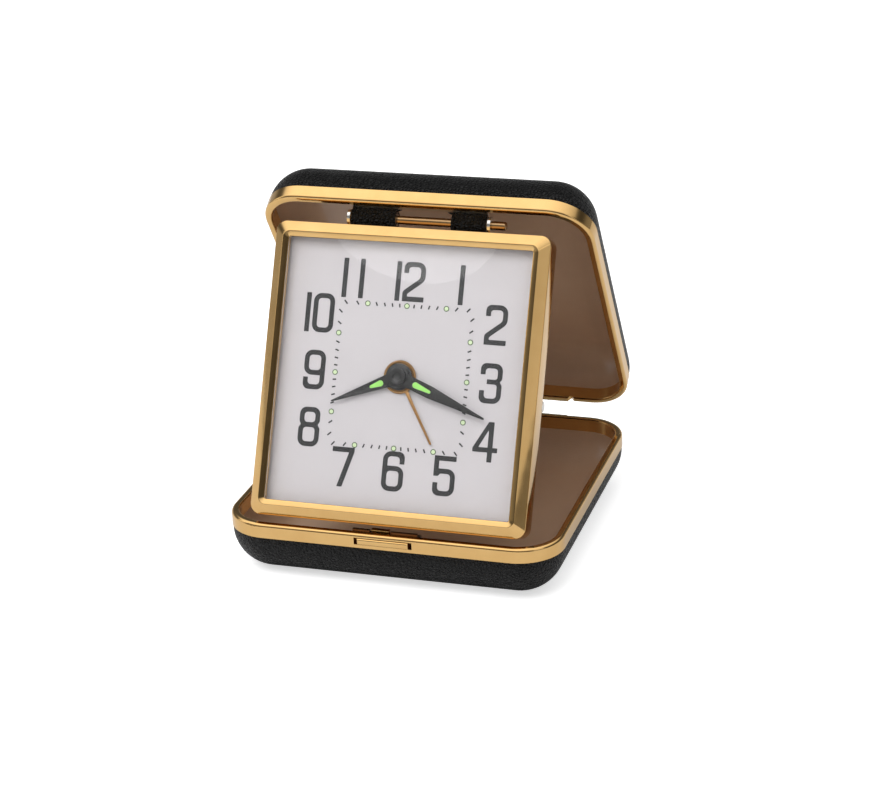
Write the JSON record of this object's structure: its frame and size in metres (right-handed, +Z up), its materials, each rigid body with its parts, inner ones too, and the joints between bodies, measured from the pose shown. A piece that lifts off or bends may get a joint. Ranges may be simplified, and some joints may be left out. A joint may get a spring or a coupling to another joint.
{
  "type": "folding travel alarm clock",
  "caption": "Folding travel alarm clock: a two-part case covered in leather cloth, brass rims, and a square clock head hinged to the lid and propped in the lower half.",
  "frame": {"origin": "middle of the lower case half's flat underside, on the surface that it stands on", "axes": "+Z up, the dial faces -Y, +X to the right of a viewer who faces the dial"},
  "size_m": [0.08, 0.0877, 0.0854],
  "materials": {
    "leatherette": "black grained leather cloth",
    "steel": "plain sheet steel",
    "lining": "glossy taupe brown lining",
    "brass": "polished gold-coloured brass",
    "nickel": "nickel plate",
    "crystal": "clear domed plastic crystal",
    "dial_paint": "matt lilac white",
    "hand_black": "satin black",
    "hand_bronze": "bronze lacquer",
    "lume": "green luminous paste",
    "frame_plastic": "moulded black",
    "wheel_plastic": "moulded acetal",
    "arbor_brass": "turned brass",
    "magnet": "sintered magnet",
    "copper": "enamelled copper winding",
    "board": "green circuit board",
    "case_plastic": "moulded black",
    "piezo": "brass sounder disc",
    "cell": "plain wrapped cell"
  },
  "bodies": {
    "base": {"base_cover": "leatherette", "base_pan": "steel", "base_lining": "lining", "base_rim": "brass", "base_hinge_rivets": "brass", "base_hinge_leaf": "brass", "hinge_pin": "brass", "latch_plate": "steel", "latch_keeper": "steel", "latch_spring": "steel"},
    "push_bar": {"push_bar": "brass"},
    "lid": {"lid_cover": "leatherette", "lid_pan": "steel", "lid_lining": "lining", "lid_rim": "brass", "lid_hinge_rivets": "brass", "lid_hinge_leaf": "brass", "strap_core": "steel", "strap_cover": "leatherette", "strap_rivets": "brass"},
    "head": {"hinge_rod": "brass", "head_bracket": "nickel", "bezel": "brass", "crystal": "crystal", "dial": "dial_paint", "movement_plate": "frame_plastic", "train_bridge": "frame_plastic", "stator": "nickel", "coil": "copper", "coil_core": "nickel", "circuit_board": "board", "board_chip": "frame_plastic", "crystal_can": "nickel", "rear_case": "case_plastic", "case_screws": "nickel", "buzzer": "piezo", "battery": "cell", "plus_contact": "nickel", "minus_contact": "nickel", "contact_spring": "nickel"},
    "minute_hand": {"minute_arbor": "arbor_brass", "minute_hand": "hand_black", "minute_lume": "lume", "hand_cap": "hand_black"},
    "hour_hand": {"hour_wheel": "wheel_plastic", "hour_hand": "hand_black", "hour_lume": "lume"},
    "time_setter": {"time_setter": "wheel_plastic", "time_knob": "case_plastic"},
    "third_wheel": {"third_wheel": "wheel_plastic"},
    "rotor": {"rotor": "magnet"},
    "alarm_hand": {"alarm_wheel": "wheel_plastic", "alarm_hand": "hand_bronze"},
    "alarm_setter": {"alarm_setter": "wheel_plastic", "alarm_knob": "case_plastic"},
    "alarm_switch": {"alarm_switch": "case_plastic"},
    "battery_door": {"battery_door": "case_plastic"}
  },
  "joints": [
    {"name": "lid_hinge", "type": "hinge", "parent": "base", "child": "lid", "pos_m": [0, 0.0424, 0.0141], "axis": [-1, 0, 0], "range_deg": [0, 60]},
    {"name": "head_hinge", "type": "hinge", "parent": "lid", "child": "head", "pos_m": [0, -0.00152, 0.07692], "axis": [1, 0, 0], "range_deg": [0, 57]},
    {"name": "latch_push", "type": "slide", "parent": "base", "child": "push_bar", "axis": [0, 1, 0], "range_m": [0, 0.0008], "stiffness_N_per_m": 400, "springref_m": -0.001, "deforming": ["latch_spring"]},
    {"name": "minute_spin", "type": "hinge", "parent": "head", "child": "minute_hand", "pos_m": [0, -0.01717, 0.04409], "axis": [0, 0.9027, -0.4304], "continuous": true},
    {"name": "hour_spin", "type": "hinge", "parent": "head", "child": "hour_hand", "pos_m": [0, -0.01717, 0.04409], "axis": [0, 0.9027, -0.4304], "continuous": true},
    {"name": "time_setter_spin", "type": "hinge", "parent": "head", "child": "time_setter", "pos_m": [0.0083, -0.01717, 0.04409], "axis": [0, 0.9027, -0.4304], "continuous": true},
    {"name": "third_wheel_spin", "type": "hinge", "parent": "head", "child": "third_wheel", "pos_m": [0, -0.0134, 0.05199], "axis": [0, 0.9027, -0.4304], "continuous": true},
    {"name": "rotor_spin", "type": "hinge", "parent": "head", "child": "rotor", "pos_m": [0, -0.01031, 0.05849], "axis": [0, 0.9027, -0.4304], "continuous": true},
    {"name": "alarm_spin", "type": "hinge", "parent": "head", "child": "alarm_hand", "pos_m": [0, -0.01717, 0.04409], "axis": [0, 0.9027, -0.4304], "continuous": true},
    {"name": "alarm_setter_spin", "type": "hinge", "parent": "head", "child": "alarm_setter", "pos_m": [-0.009, -0.01717, 0.04409], "axis": [0, 0.9027, -0.4304], "continuous": true},
    {"name": "alarm_switch_slide", "type": "slide", "parent": "head", "child": "alarm_switch", "axis": [0, 0.4304, 0.9027], "range_m": [0, 0.003]},
    {"name": "battery_door_slide", "type": "slide", "parent": "head", "child": "battery_door", "axis": [-1, 0, 0], "range_m": [0, 0.01]}
  ],
  "couplings": [
    {"joint": "hour_spin", "follows": "minute_spin", "ratio": 0.083333},
    {"joint": "time_setter_spin", "follows": "minute_spin", "ratio": -0.33333},
    {"joint": "third_wheel_spin", "follows": "minute_spin", "ratio": -4},
    {"joint": "rotor_spin", "follows": "minute_spin", "ratio": 12},
    {"joint": "alarm_setter_spin", "follows": "alarm_spin", "ratio": -4}
  ]
}
